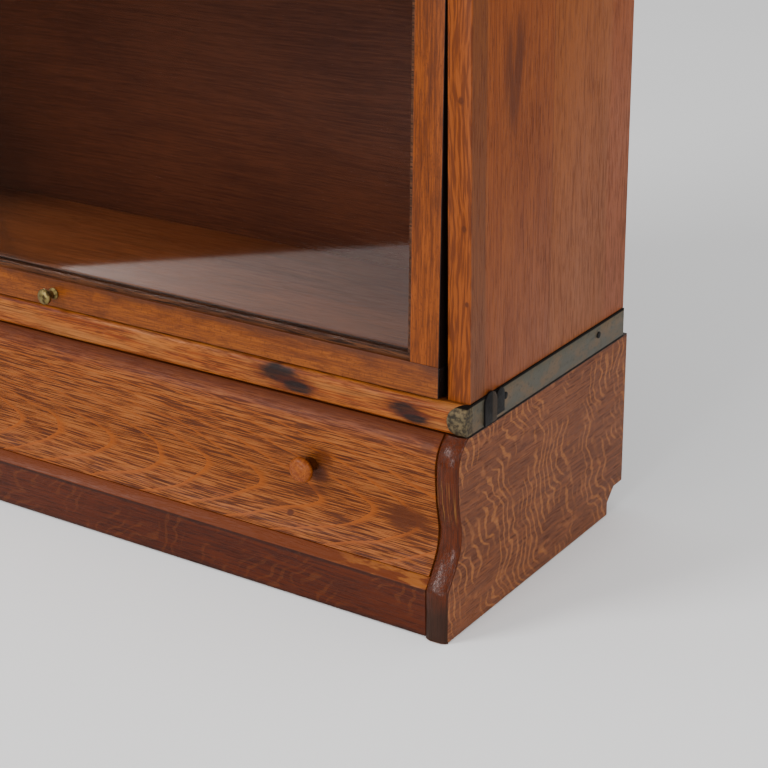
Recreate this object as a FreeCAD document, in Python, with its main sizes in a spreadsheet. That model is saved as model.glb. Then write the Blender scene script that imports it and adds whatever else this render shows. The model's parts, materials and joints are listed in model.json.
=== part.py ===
import FreeCAD, Part
import os
import re

# Stacking barrister bookcase: an ogee base with one drawer, three glazed sections and a top unit.
# Millimetres. X runs along the width, +Y to the back, +Z up. The origin is on the floor, under
# the middle of the case. Heights are measured from the floor, depths from the front of the feet.

SIZES = {
    # whole case
    "case_width": 861.0, "base_depth": 308.0, "base_high": 170.0,
    "lower_high": 386.0, "middle_high": 336.0, "upper_high": 286.0, "top_high": 62.0,
    # boards
    "side_thick": 20.5, "floor_thick": 18.0, "lid_thick": 12.0, "back_thick": 8.0,
    "case_front": 37.5, "case_inset": 9.5, "floor_drop": 1.6,
    # nosing rail and its steel band
    "band_high": 27.0, "band_thick": 2.0, "band_proud": 0.8, "rail_front": 29.5, "rail_back": 50.0,
    "rail_round": 8.0, "cap_wide": 17.0, "cap_proud": 0.6, "cap_wall": 1.2,
    "clip_front": 57.2, "clip_thick": 1.6, "clip_main": 18.0, "clip_rear": 12.0,
    "clip_foot": 2.0, "clip_step": 3.6, "clip_rise": 2.2, "clip_drop": 1.8,
    "screw_radius": 3.0, "screw_proud": 0.7, "screw_gap": 3.4, "screw_inset": 48.0,
    "screw_drop": 10.0,
    # base and drawer
    "foot_high": 44.0, "ogee_deep": 32.0, "nose_round": 6.5, "plinth_face": 3.4,
    "plinth_thick": 20.0, "plinth_high": 52.0, "plinth_bevel": 7.5, "plinth_lift": 1.5,
    "notch_deep": 28.0, "notch_high": 25.0, "notch_slope": 12.0, "dust_thick": 12.0,
    "dust_front": 62.0, "base_back_inset": 2.0, "base_back_low": 30.0,
    "runner_wide": 12.0, "runner_thick": 10.0, "slide_gap": 0.5, "drawer_gap": 1.0,
    "drawer_face_inset": 3.0, "drawer_front_back": 46.0, "drawer_wall": 11.0,
    "drawer_side_gap": 2.0, "drawer_head_gap": 11.0, "drawer_back_gap": 6.0,
    "drawer_floor": 6.0, "drawer_floor_lift": 4.0, "grip_inset": 143.5, "grip_drop": 51.0,
    "grip_radius": 11.2, "grip_neck": 6.0, "grip_head": 11.0, "grip_round": 3.85,
    "grip_front": 0.6, "grip_tenon": 34.0,
    # doors
    "door_front": 43.5, "door_thick": 20.0, "door_gap": 4.5, "door_foot_gap": 1.2,
    "door_head_gap": 1.0, "stile_wide": 27.0, "bottom_rail": 26.0, "top_rail": 34.0,
    "head_flat": 0.1, "bead_wide": 4.0, "bead_deep": 5.0, "glass_thick": 3.0, "door_ajar": 2.2,
    "knob_radius": 7.2, "knob_neck": 4.0, "knob_head": 6.0, "knob_round": 2.1,
    "knob_long": 16.0, "knob_lift": 12.5,
    # pivots
    "pin_radius": 3.0, "pin_play": 0.05, "pin_long": 20.0, "roller_radius": 7.0,
    "roller_play": 0.3, "groove_deep": 5.0, "groove_end": 1.5,
    # top unit
    "lid_front": 15.0, "lid_high": 20.0, "lid_round": 7.0, "frieze_front": 33.0,
    "frieze_round": 6.0,
}

# Places worked out from the driving sizes. Each name stands for the expression beside it.
PLACES = {
    "front": "-base_depth / 2",
    "band_out": "case_width / 2",
    "band_in": "band_out - band_thick",
    "side_out": "band_out - band_proud",
    "side_in": "side_out - side_thick",
    "case_back": "base_depth - case_inset",
    "back_front": "case_back - back_thick",
    "base_back_front": "base_depth - base_back_inset - back_thick",
    "clip_joint": "clip_front + clip_main",
    "screw_front": "clip_joint + clip_rear + screw_gap",
    "screw_back": "case_back - screw_inset",
    "door_half": "side_in - door_gap",
    "glass_half": "door_half - stile_wide",
    "pivot_depth": "door_front + door_thick / 2",
    "drawer_out": "side_in - drawer_side_gap",
    "drawer_in": "drawer_out - drawer_wall",
    "runner_top": "plinth_high + slide_gap + runner_thick",
    "drawer_low": "runner_top + slide_gap",
    "dust_low": "base_high - dust_thick",
    "drawer_top": "dust_low - drawer_head_gap",
    "drawer_end": "base_back_front - drawer_back_gap",
    "grip_high": "base_high - grip_drop",
    "lower_base": "base_high",
    "middle_base": "base_high + lower_high",
    "upper_base": "middle_base + middle_high",
    "top_base": "upper_base + upper_high",
}

# The ogee as (share of the height above the foot, share of the set-back), from the foot up.
# Its last point is above the base, where the boards are trimmed level.
OGEE = ((0.0, 0.02), (0.08, 0.25), (0.25, 0.62), (0.37, 0.68), (0.53, 0.58),
        (0.69, 0.53), (0.82, 0.535), (0.91, 0.66), (1.0, 1.0), (1.1, 1.4))

MARGIN = 5          # how far a cutting tool runs past what it cuts
SECTIONS = ("lower", "middle", "upper")
LEVELS = SECTIONS + ("top",)
AJAR = {"lower": "door_ajar", "middle": "0", "upper": "0"}
NEAR = 0.01         # how close two places are when they are the same

doc = FreeCAD.newDocument("barrister_bookcase")
sheet = doc.addObject("Spreadsheet::Sheet", "Sheet")
for row, (alias, size) in enumerate(SIZES.items(), start=1):
    sheet.set(f"A{row}", alias)
    sheet.set(f"B{row}", str(size))
    sheet.setAlias(f"B{row}", alias)
doc.recompute()


def expand(text):
    """An expression on the sheet's cells, from one that uses SIZES and PLACES names."""
    def spell(match):
        word = match.group(0)
        if word in PLACES:
            return f"({expand(PLACES[word])})"
        return f"{sheet.Name}.{word}"
    return re.sub(r"[a-z][a-z_]*", spell, text)


def number(text):
    """The value of an expression, for shapes that Part's own functions make."""
    return float(sheet.evalExpression(expand(text)))


def add(kind, label):
    item = doc.addObject(kind, label)
    item.Label = label
    return item


def bind_base(item, corner):
    for axis, text in zip("xyz", corner):
        item.setExpression("Placement.Base." + axis, expand(text))


def box(label, along, deep, high, datum="front"):
    """A Part::Box between three pairs of expressions. Depths are measured from the datum."""
    item = add("Part::Box", label)
    for name, (low, top) in zip(("Length", "Width", "Height"), (along, deep, high)):
        item.setExpression(name, expand(f"({top}) - ({low})"))
    bind_base(item, (along[0], f"{datum} + {deep[0]}", high[0]))
    return item


def door_box(label, along, deep, high):
    """A box in a door's own frame, whose origin is the middle of its pivot axis."""
    return box(label, along, deep, high, datum="0")


def rod(label, radius, start, length, direction):
    """A Part::Cylinder from a start point along a direction."""
    item = add("Part::Cylinder", label)
    turn = FreeCAD.Rotation(FreeCAD.Vector(0, 0, 1), FreeCAD.Vector(*direction))
    item.Placement = FreeCAD.Placement(FreeCAD.Vector(), turn)
    item.setExpression("Radius", expand(radius))
    item.setExpression("Height", expand(length))
    bind_base(item, start)
    return item


def group(label, *items):
    """Separate solids under one label."""
    item = add("Part::Compound", label)
    item.Links = list(items)
    return item


def fuse(label, *items):
    item = add("Part::MultiFuse", label)
    item.Shapes = list(items)
    return item


def cut(label, base, *tools):
    item = add("Part::Cut", label)
    item.Base = base
    item.Tool = tools[0] if len(tools) == 1 else group(label + "_cutters", *tools)
    return item


def common(label, base, tool):
    item = add("Part::Common", label)
    item.Base = base
    item.Tool = tool
    return item


def mirror(label, source):
    """The same shape on the other side of the case's middle plane."""
    item = add("Part::Mirroring", label)
    item.Source = source
    item.Normal = FreeCAD.Vector(1, 0, 0)
    return item


def round_edges(label, base, radius, wanted, kind="Part::Fillet"):
    """A fillet, or a chamfer, on the edges whose middle point passes the test wanted."""
    doc.recompute()
    item = add(kind, label)
    item.Base = base
    size = number(radius)
    edges = enumerate(base.Shape.Edges, start=1)
    item.Edges = [(index, size, size) for index, edge in edges if wanted(edge)]
    return item


def edge_middle(edge):
    return edge.valueAt((edge.FirstParameter + edge.LastParameter) / 2)


def near(value, text):
    return abs(value - number(text)) < NEAR


def middle_at(**places):
    """A test for the edges whose middle point has the given coordinates."""
    def wanted(edge):
        middle = edge_middle(edge)
        return all(near(getattr(middle, axis), text) for axis, text in places.items())
    return wanted


def is_rim(edge):
    return edge.Closed


def solid(label, shape):
    item = add("Part::Feature", label)
    item.Shape = shape
    return item


def ogee_points(inset):
    """Points of the ogee, set back by inset from the front of the feet's line."""
    low, high = number("foot_high"), number("base_high")
    front, deep = number("front"), number("ogee_deep")
    return [FreeCAD.Vector(0, front + share * deep + inset, low + rise * (high - low))
            for rise, share in OGEE]


def ogee_slab(inset, back, low, half_width):
    """A slab across X from -half_width, with the ogee in front, a foot below it and a flat back."""
    curve = Part.BSplineCurve()
    points = ogee_points(inset)
    curve.interpolate(Points=points)
    back_y = number("front") + back
    foot = FreeCAD.Vector(0, number("front") + inset, low)
    corners = [points[-1], FreeCAD.Vector(0, back_y, points[-1].z),
               FreeCAD.Vector(0, back_y, low), foot, points[0]]
    edges = [Part.LineSegment(a, b).toShape() for a, b in zip(corners, corners[1:])]
    face = Part.Face(Part.Wire([curve.toShape()] + edges))
    face.translate(FreeCAD.Vector(-half_width, 0, 0))
    return face.extrude(FreeCAD.Vector(2 * half_width, 0, 0))


def base_side():
    """The right base side: ogee front with a rounded nose, and a cut for the skirting board."""
    thick = number("side_thick")
    slab = ogee_slab(0, number("base_depth"), 0, thick / 2)
    front = number("front")
    nose = [edge for edge in slab.Edges if is_nose(edge, front, thick)]
    slab = slab.makeFillet(number("nose_round"), nose)
    top = Part.makeBox(2 * thick, 2 * number("base_depth"), number("base_high"),
                       FreeCAD.Vector(-thick, -number("base_depth"), number("base_high")))
    back = front + number("base_depth") + MARGIN
    deep, high = number("notch_deep") + MARGIN, number("notch_high")
    slope = number("notch_slope")
    outline = [(back, -MARGIN), (back - deep, -MARGIN), (back - deep, high - slope),
               (back - deep + slope, high), (back, high)]
    wire = Part.makePolygon([FreeCAD.Vector(-thick, y, z) for y, z in outline + outline[:1]])
    notch = Part.Face(wire).extrude(FreeCAD.Vector(2 * thick, 0, 0))
    slab = slab.cut([notch, top])
    slab.translate(FreeCAD.Vector(number("side_out") - thick / 2, 0, 0))
    return solid("base_side_right", slab.Solids[0])


def is_nose(edge, front, thick):
    """True for the long front edges of the base side, on both of its faces."""
    middle = edge_middle(edge)
    on_face = abs(abs(middle.x) - thick / 2) < NEAR
    upright = edge.BoundBox.ZLength > number("foot_high") / 2
    return on_face and upright and middle.y < front + number("ogee_deep")


def make_base():
    right = base_side()
    between = ("-side_in", "side_in")
    plinth = box("plinth_board", between, ("plinth_face", "plinth_face + plinth_thick"),
                 ("plinth_lift", "plinth_high"))
    top_front = middle_at(y="front + plinth_face", z="plinth_high")
    rail = round_edges("plinth_rail", plinth, "plinth_bevel", top_front, "Part::Chamfer")
    back = box("base_back_panel", between, ("base_back_front", "base_back_front + back_thick"),
               ("base_back_low", "base_high"))
    dust = box("base_top_frame", between, ("dust_front", "base_back_front"),
               ("dust_low", "base_high"))
    runner = box("runner_right", ("side_in - runner_wide", "side_in"),
                 ("dust_front", "base_back_front"), ("runner_top - runner_thick", "runner_top"))
    runners = group("drawer_runners", runner, mirror("runner_left", runner))
    return [right, mirror("base_side_left", right), rail, back, dust, runners]


def make_drawer():
    half = number("side_in - drawer_gap")
    slab = ogee_slab(number("drawer_face_inset"), number("drawer_front_back"),
                     number("foot_high") - MARGIN, half)
    body = solid("drawer_slab", slab)
    trim = box("drawer_trim", ("-side_in", "side_in"), ("0", "drawer_front_back"),
               ("plinth_high + drawer_gap", "base_high - drawer_gap"))
    shaped = common("drawer_blank", body, trim)
    grips, sockets = [], []
    for side, sign in (("left", "-"), ("right", "")):
        start = (f"{sign}(band_out - grip_inset)", "front + grip_front", "grip_high")
        head = rod(f"grip_head_{side}", "grip_radius", start, "grip_head", (0, 1, 0))
        dome = round_edges(f"grip_dome_{side}", head, "grip_round", is_rim)
        neck = rod(f"grip_neck_{side}", "grip_neck", start, "grip_tenon", (0, 1, 0))
        grips.append(fuse(f"grip_{side}", dome, neck))
        sockets.append(rod(f"grip_socket_{side}", "grip_neck", start, "grip_tenon", (0, 1, 0)))
    face = cut("drawer_front", shaped, *sockets)
    heights = ("drawer_low", "drawer_top")
    wall = box("drawer_side_right", ("drawer_in", "drawer_out"),
               ("drawer_front_back", "drawer_end"), heights)
    inside = ("-drawer_in", "drawer_in")
    back_start = "drawer_end - drawer_wall"
    back = box("drawer_back", inside, (back_start, "drawer_end"), heights)
    floor_low = "drawer_low + drawer_floor_lift"
    floor = box("drawer_bottom", inside, ("drawer_front_back", back_start),
                (floor_low, floor_low + " + drawer_floor"))
    grip_pair = group("drawer_knobs", *grips)
    return [face, wall, mirror("drawer_side_left", wall), back, floor, grip_pair]


def nosing(name, along, deep, high, radius):
    """A board whose upper and lower front edges are rounded."""
    board = box(name + "_board", along, deep, high)
    tests = [middle_at(y=f"front + {deep[0]}", z=level) for level in high]
    return round_edges(name, board, radius, lambda edge: any(test(edge) for test in tests))


def make_nosing_rail(level, label):
    """The rail across the front at a level, and the steel band on its right end."""
    low = f"{level}_base"
    rail = nosing(f"{level}_nosing", ("-band_in", "band_in"), ("rail_front", "rail_back"),
                  (low, f"{low} + band_high"), "rail_round")
    core = nosing(f"{level}_core", ("-band_in", "band_in"), ("rail_front + cap_wall", "rail_back"),
                  (f"{low} + cap_wall", f"{low} + band_high - cap_wall"), "rail_round - cap_wall")
    cap_deep = ("rail_front - cap_proud", "case_front")
    block = nosing(f"{level}_cap", ("band_out - cap_wide", "band_out"), cap_deep,
                   (low, f"{low} + band_high"), "rail_round")
    end = rod(f"{level}_cap_end", "band_high / 2",
              ("band_out - cap_wide + band_high / 2", "front", f"{low} + band_high / 2"),
              "rail_back", (0, 1, 0))
    rest = box(f"{level}_cap_rest", ("band_out - cap_wide + band_high / 2", "band_out"),
               ("0", "rail_back"), (low, f"{low} + band_high"))
    shaped = common(f"{level}_cap_shape", block, fuse(f"{level}_cap_outline", end, rest))
    cap = cut(f"{level}_cap_shell", shaped, core)
    strip = box(f"{level}_strip", ("band_in", "band_out"), ("case_front", "case_back"),
                (low, f"{low} + band_high"))
    band = fuse(f"{level}_band_right", cap, strip)
    left = mirror(f"{level}_band_left", band)
    return cut(label, rail, cap, mirror(f"{level}_cap_left", cap)), band, left


def make_side(section, label, low, top, *more):
    """A right-hand side board, cut for the nosing rail and rebated for the band."""
    board = box(f"{label}_board", ("side_in", "side_out"), ("case_front", "case_back"),
                (low, top))
    notch = box(f"{label}_notch", (f"side_in - {MARGIN}", "band_in"),
                (f"case_front - {MARGIN}", "rail_back"), (f"{low} - {MARGIN}",
                                                           f"{low} + band_high"))
    rebate = box(f"{label}_rebate", ("band_in", f"side_out + {MARGIN}"),
                 (f"case_front - {MARGIN}", f"case_back + {MARGIN}"),
                 (f"{low} - {MARGIN}", f"{low} + band_high"))
    return cut(label, board, notch, rebate, *more)


def make_section(section):
    low, tall = f"{section}_base", f"{section}_high"
    top = f"{low} + {tall}"
    pivot = f"({top} - lid_thick - door_head_gap - door_thick / 2)"
    reach = "(roller_radius + roller_play)"
    groove = box(f"{section}_groove", (f"side_in - {MARGIN}", "side_in + groove_deep"),
                 (f"pivot_depth - {reach}", "back_front - groove_end"),
                 (f"{pivot} - {reach}", f"{pivot} + {reach}"))
    side = make_side(section, f"{section}_side_right", low, top, groove)
    between = ("-side_in", "side_in")
    floor_top = f"{low} + band_high - floor_drop"
    floor_low = f"{floor_top} - floor_thick"
    floor = box(f"{section}_bottom_board", between, ("rail_back", "back_front"),
                (floor_low, floor_top))
    lid = box(f"{section}_top_board", between, ("case_front", "back_front"),
              (f"{top} - lid_thick", top))
    back = box(f"{section}_back_panel", between, ("back_front", "case_back"), (floor_low, top))
    rail, band, band_left = make_nosing_rail(section, f"{section}_front_rail")
    case = [side, mirror(f"{section}_side_left", side), floor, lid, back, rail]
    return case, make_door(section, pivot, tall), band, band_left


def make_door(section, pivot, tall):
    """A glazed door and the rollers that it hangs on, from its own frame to its place."""
    drop = f"({tall} - lid_thick - door_head_gap - door_thick / 2 - band_high - door_foot_gap)"
    faces = ("-door_thick / 2", "door_thick / 2")
    across = ("-door_half", "door_half")
    rail_low = "door_thick / 2 - top_rail"
    head_board = door_box(f"{section}_head_board", across, faces, (rail_low, "door_thick / 2"))
    head_round = round_edges(f"{section}_head_round", head_board, "door_thick / 2 - head_flat",
                             middle_at(x="0", z="door_thick / 2"))
    bore = rod(f"{section}_bore_right", "pin_radius + pin_play", ("door_half - pin_long", "0", "0"),
               f"pin_long + {MARGIN}", (1, 0, 0))
    head = cut(f"{section}_head", head_round, bore, mirror(f"{section}_bore_left", bore))
    foot_top = f"bottom_rail - {drop}"
    foot = door_box(f"{section}_foot", across, faces, (f"-{drop}", foot_top))
    upright = (foot_top, rail_low)
    stile = door_box(f"{section}_stile", ("glass_half", "door_half"), faces, upright)
    pane = ("-glass_half", "glass_half")
    glass_faces = ("-glass_thick / 2", "glass_thick / 2")
    glass = door_box(f"{section}_pane", pane, glass_faces, upright)
    knob_start = ("0", "-door_thick / 2", f"knob_lift - {drop}")
    neck = rod(f"{section}_knob_neck", "knob_neck", knob_start, "knob_long", (0, -1, 0))
    head_start = ("0", "knob_head - door_thick / 2 - knob_long", knob_start[2])
    button = rod(f"{section}_knob_head", "knob_radius", head_start, "knob_head", (0, -1, 0))
    rounded = round_edges(f"{section}_knob_dome", button, "knob_round", is_rim)
    pieces = {
        "top_rail": [head], "bottom_rail": [foot],
        "stiles": [stile, mirror(f"{section}_stile_left", stile)], "glass": [glass],
        "beads": [bead_ring(section, "front", "-glass_thick / 2 - bead_deep", upright),
                  bead_ring(section, "rear", "glass_thick / 2", upright)],
        "knob": [fuse(f"{section}_knob_whole", neck, rounded)],
    }
    nodes = []
    for name, items in pieces.items():
        node = group(f"{section}_door_{name}", *items)
        place_on_pivot(node, pivot, AJAR[section])
        nodes.append(node)
    return nodes + [make_rollers(section, pivot)]


def bead_ring(section, side, deep, upright):
    """The glazing bead on one side of the glass: four mitred strips in one ring."""
    depth = (deep, f"{deep} + bead_deep")
    outer = door_box(f"{section}_bead_{side}", ("-glass_half", "glass_half"), depth, upright)
    hole = door_box(f"{section}_bead_hole_{side}",
                    ("bead_wide - glass_half", "glass_half - bead_wide"),
                    (f"{deep} - {MARGIN}", f"{deep} + bead_deep + {MARGIN}"),
                    (f"{upright[0]} + bead_wide", f"{upright[1]} - bead_wide"))
    return cut(f"{section}_bead_ring_{side}", outer, hole)


def place_on_pivot(node, pivot, ajar):
    """Hang a piece that was made in a door's own frame on its pivot, its foot swung forward."""
    node.Placement = FreeCAD.Placement(FreeCAD.Vector(),
                                       FreeCAD.Rotation(FreeCAD.Vector(-1, 0, 0), number(ajar)))
    bind_base(node, ("0", "front + pivot_depth", pivot))


def make_rollers(section, pivot):
    pin = rod(f"{section}_pin", "pin_radius", ("door_half - pin_long", "0", "0"),
              "pin_long + door_gap + groove_deep - roller_play", (1, 0, 0))
    wheel = rod(f"{section}_wheel", "roller_radius", ("side_in + roller_play", "0", "0"),
                "groove_deep - 2 * roller_play", (1, 0, 0))
    right = fuse(f"{section}_roller_right", pin, wheel)
    node = group(f"{section}_pivot_rollers", right, mirror(f"{section}_roller_left", right))
    place_on_pivot(node, pivot, "0")
    return node


def make_top_unit():
    low = "top_base"
    lid_low = "(top_base + top_high - lid_high)"
    rail, band, band_left = make_nosing_rail("top", "top_front_rail")
    side = make_side("top", "top_end_right", low, lid_low)
    ends = group("top_ends", side, mirror("top_end_left", side))
    between = ("-side_in", "side_in")
    frieze_board = box("frieze_board", between, ("frieze_front", "rail_back"),
                       ("top_base + band_high", lid_low))
    lower_front = middle_at(y="front + frieze_front", z="top_base + band_high")
    frieze = round_edges("top_frieze", frieze_board, "frieze_round", lower_front)
    back = box("top_back_rail", between, ("back_front", "case_back"), (low, lid_low))
    lid_board = box("lid_board", ("-band_out", "band_out"), ("lid_front", "case_back"),
                    (lid_low, "top_base + top_high"))
    at_back = middle_at(y="front + case_back")
    upright = middle_at(z=f"{lid_low} + lid_high / 2")
    lid = round_edges("top_board", lid_board, "lid_round",
                      lambda edge: not at_back(edge) and not upright(edge))
    return [rail, ends, frieze, back, lid], band, band_left


def make_clip(level):
    """A spring clip on the right end: a wide finger, and a narrow one behind that ends higher."""
    low, top = f"{level}_base", f"{level}_base + band_high + clip_rise"
    fingers = {"front": ("clip_front", "clip_main", f"{low} + clip_foot", top),
               "rear": ("clip_joint", "clip_rear", f"{low} + clip_foot + clip_step",
                        f"{top} - clip_drop")}
    parts = []
    for name, (start, wide, foot, head) in fingers.items():
        shoulder = f"{head} - {wide} / 2"
        parts.append(box(f"{level}_finger_{name}", ("band_out", "band_out + clip_thick"),
                         (start, f"{start} + {wide}"), (foot, shoulder)))
        parts.append(rod(f"{level}_finger_{name}_tip", f"{wide} / 2",
                         ("band_out", f"front + {start} + {wide} / 2", shoulder),
                         "clip_thick", (1, 0, 0)))
    return fuse(f"{level}_clip", *parts)


def make_screws(level):
    return [rod(f"{level}_{depth}", "screw_radius",
                ("band_out", f"front + {depth}", f"{level}_base + band_high - screw_drop"),
                "screw_proud", (1, 0, 0)) for depth in ("screw_front", "screw_back")]


def make_fittings(bands, bands_left):
    clips = [make_clip(level) for level in LEVELS]
    clips += [mirror(f"{level}_clip_left", clip) for level, clip in zip(LEVELS, list(clips))]
    screws = [screw for level in LEVELS for screw in make_screws(level)]
    screws += [mirror(screw.Label + "_left", screw) for screw in list(screws)]
    return [group("steel_bands_right", *bands), group("steel_bands_left", *bands_left),
            group("band_clips", *clips), group("band_screws", *screws)]


def main():
    nodes = make_base() + make_drawer()
    bands, bands_left = [], []
    for section in SECTIONS:
        case, door, band, band_left = make_section(section)
        nodes += case + door
        bands.append(band)
        bands_left.append(band_left)
    top, band, band_left = make_top_unit()
    nodes += top + make_fittings(bands + [band], bands_left + [band_left])
    doc.recompute()
    for item in doc.Objects:
        if "Invalid" in item.State or "Error" in item.State:
            raise RuntimeError(f"{item.Label} failed: {item.State}")
    for node in nodes:
        if node.Shape.isNull() or not node.Shape.isValid():
            raise RuntimeError(f"{node.Label} has no valid shape")
    os.makedirs("parts", exist_ok=True)
    for node in nodes:
        node.Shape.exportStep(os.path.join("parts", node.Label + ".step"))
    print(len(nodes), "nodes written")


main()
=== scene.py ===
import json
import math
import random

import bpy
from mathutils import Matrix, Vector, noise
from mathutils.bvhtree import BVHTree


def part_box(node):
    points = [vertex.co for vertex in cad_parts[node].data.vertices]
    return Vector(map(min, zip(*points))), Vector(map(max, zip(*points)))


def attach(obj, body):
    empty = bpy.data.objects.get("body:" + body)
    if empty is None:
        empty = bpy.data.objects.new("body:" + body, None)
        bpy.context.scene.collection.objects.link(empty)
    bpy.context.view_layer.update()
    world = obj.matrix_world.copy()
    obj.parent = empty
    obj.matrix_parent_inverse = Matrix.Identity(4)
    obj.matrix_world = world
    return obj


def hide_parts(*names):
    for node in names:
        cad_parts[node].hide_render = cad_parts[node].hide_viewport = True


# A stacking barrister bookcase in old varnished oak. Metres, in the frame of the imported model:
# X along the width, +Y to the back, +Z up.

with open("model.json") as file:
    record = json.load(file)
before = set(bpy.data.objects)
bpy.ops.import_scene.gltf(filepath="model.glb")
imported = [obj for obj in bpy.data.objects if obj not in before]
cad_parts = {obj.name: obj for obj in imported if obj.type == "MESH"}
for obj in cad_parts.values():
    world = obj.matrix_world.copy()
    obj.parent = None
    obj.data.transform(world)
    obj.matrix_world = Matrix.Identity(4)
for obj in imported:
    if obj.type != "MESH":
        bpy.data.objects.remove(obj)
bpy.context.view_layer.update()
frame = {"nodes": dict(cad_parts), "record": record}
nodes = frame["nodes"]

SECTIONS = ("lower", "middle", "upper")
LEVELS = SECTIONS + ("top",)

# Colours in linear light. First the woods, each as light wood, dark wood and pores.
DRAWER_WOOD = ((0.190, 0.047, 0.0045), (0.145, 0.031, 0.0031), (0.036, 0.0071, 0.0012))
RAIL_WOOD = ((0.265, 0.074, 0.0095), (0.137, 0.023, 0.0017), (0.046, 0.0066, 0.0008))
SIDE_WOOD = ((0.210, 0.051, 0.0062), (0.131, 0.027, 0.0037), (0.068, 0.013, 0.0025))
BASE_WOOD = ((0.159, 0.043, 0.0092), (0.097, 0.024, 0.0055), (0.050, 0.012, 0.0036))
NOSE_WOOD = ((0.076, 0.014, 0.0026), (0.040, 0.0078, 0.0021), (0.016, 0.0034, 0.0010))
PLINTH_WOOD = ((0.063, 0.010, 0.0010), (0.038, 0.0053, 0.0006), (0.019, 0.0026, 0.0003))
DOOR_RAIL_WOOD = ((0.190, 0.050, 0.0050), (0.092, 0.020, 0.0026), (0.054, 0.012, 0.0027))
DOOR_STILE_WOOD = ((0.185, 0.042, 0.0036), (0.088, 0.019, 0.0022), (0.054, 0.012, 0.0027))
KNOB_WOOD = ((0.230, 0.058, 0.0070), (0.130, 0.025, 0.0040), (0.062, 0.013, 0.0025))
# Plain boards, each as light wood and dark wood. Their pores are a share of the dark wood.
BACK_WOOD = ((0.088, 0.026, 0.0115), (0.055, 0.0155, 0.0072))
CASE_BACK_WOOD = ((0.110, 0.039, 0.013), (0.066, 0.022, 0.0077))
INSIDE_WOOD = ((0.36, 0.108, 0.032), (0.21, 0.060, 0.020))
RAW_WOOD = ((0.253, 0.149, 0.066), (0.198, 0.110, 0.044))
BEAD_WOOD = ((0.105, 0.036, 0.012), (0.034, 0.011, 0.0045))
TOP_WOOD = ((0.242, 0.069, 0.010), (0.149, 0.035, 0.0055))
PORE_SHARE = 0.4
# Then what lies on the wood, and the painted shade and painted highlights.
# Umber: stains, knots, specks and dark joints, and also painted shade under the rails and beside
# the drawer knobs.
UMBER_AND_SHADE = (0.062, 0.013, 0.0025)
TAN = (0.210, 0.072, 0.018)
# Near black: soot in the rail burns, and painted shade under the steel band and along the doors'
# bottom edges.
SOOT_AND_SHADE = (0.011, 0.004, 0.003)
GREY_BROWN = (0.080, 0.029, 0.010)
LATE_WOOD = (0.272, 0.062, 0.0031)
PALE_LINE = (0.300, 0.100, 0.022)
DARK_LINE = (0.042, 0.0084, 0.0014)
REDDISH_SHADE = (0.082, 0.011, 0.0012)
# Painted shade: the reddish dark on the drawer's top, under the nosing rail.
BARE_WOOD = (0.300, 0.115, 0.026)
RAIL_LINE = (0.055, 0.009, 0.0009)
SCORCH = (0.060, 0.0072, 0.0010)
REAR_BOARD = (0.231, 0.065, 0.0093)
LAST_STRIP = (0.221, 0.042, 0.0037)
EDGE_ORANGE = (0.185, 0.042, 0.0038)
EDGE_BROWN = (0.092, 0.019, 0.0020)
FLECK = (0.294, 0.101, 0.024)
PALE_BLOT = (0.247, 0.081, 0.022)
END_GRAIN = (0.166, 0.069, 0.014)
FOOT_GRIME = (0.018, 0.0078, 0.0042)
PLINTH_FLECK = (0.125, 0.034, 0.0060)
# Painted highlight: the plinth's top bevel, brighter than its face.
BEVEL_HIGHLIGHT = (0.105, 0.020, 0.0014)
BEVEL_WORN = (0.230, 0.070, 0.010)
MOTTLE = (0.072, 0.0155, 0.0024)
SMUDGE = (0.050, 0.013, 0.0045)
# Painted shade: a door's ends near black in the gap beside the case.
GAP_SHADE_BLACK = (0.0045, 0.0023, 0.0018)
# Painted shade on a knob's neck, behind its head.
NECK_SHADE = (0.022, 0.0042, 0.0009)
# Metal and glass.
STEEL_GREY = (0.074, 0.066, 0.046)
STEEL_TAN = (0.128, 0.083, 0.044)
STEEL_SPECK = (0.032, 0.025, 0.018)
# Painted shade along each steel band's edges.
BAND_EDGE_SHADE = (0.006, 0.004, 0.003)
CRUST_DARK = (0.018, 0.013, 0.008)
CRUST_TAN = (0.120, 0.088, 0.044)
CLIP_BLACK = (0.0045, 0.0036, 0.0034)
# Painted highlight: the brown sheen on the clip's wide finger.
CLIP_SHEEN_BROWN = (0.036, 0.024, 0.015)
BRASS = (0.210, 0.155, 0.055)
BRASS_STAIN = (0.055, 0.034, 0.013)
GLASS_TINT = (0.985, 0.98, 0.975)
MIRROR_TINT = (1.0, 0.98, 0.96)
# The room.
FLOOR_GREY = (0.9, 0.9, 0.9)
FLOOR_PALE = (0.93, 0.93, 0.93)
CARD_BLACK = (0.01, 0.008, 0.007)
CARD_DARK = (0.02, 0.016, 0.014)

# Where the marks lie, in metres: a place in X and Z, the radii of a blot, and its share.
# On the drawer, the blots just right of and below each knob, at (0.2925, 0.113) and (-0.280,
# 0.115), are painted shadows of the knobs; the others are stains.
DRAWER_STAINS_AND_SHADOWS = (((0.378, 0.091), (0.028, 0.016), 0.9),
                 ((0.284, 0.094), (0.020, 0.005), 0.6),
                 ((0.264, 0.068), (0.004, 0.0035), 0.95),
                 ((0.2925, 0.113), (0.013, 0.015), 0.9),
                 ((0.300, 0.128), (0.012, 0.010), 0.7),
                 ((-0.280, 0.115), (0.016, 0.014), 0.8),
                 ((0.398, 0.159), (0.008, 0.005), 0.55))
RAIL_BURNS = (((0.250, 0.188), (0.024, 0.0100)), ((0.268, 0.180), (0.018, 0.0070)),
              ((0.374, 0.184), (0.017, 0.0085)), ((0.384, 0.178), (0.014, 0.0050)),
              ((-0.22, 0.184), (0.03, 0.006)), ((0.11, 0.573), (0.035, 0.006)),
              ((-0.31, 0.908), (0.025, 0.006)))
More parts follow.
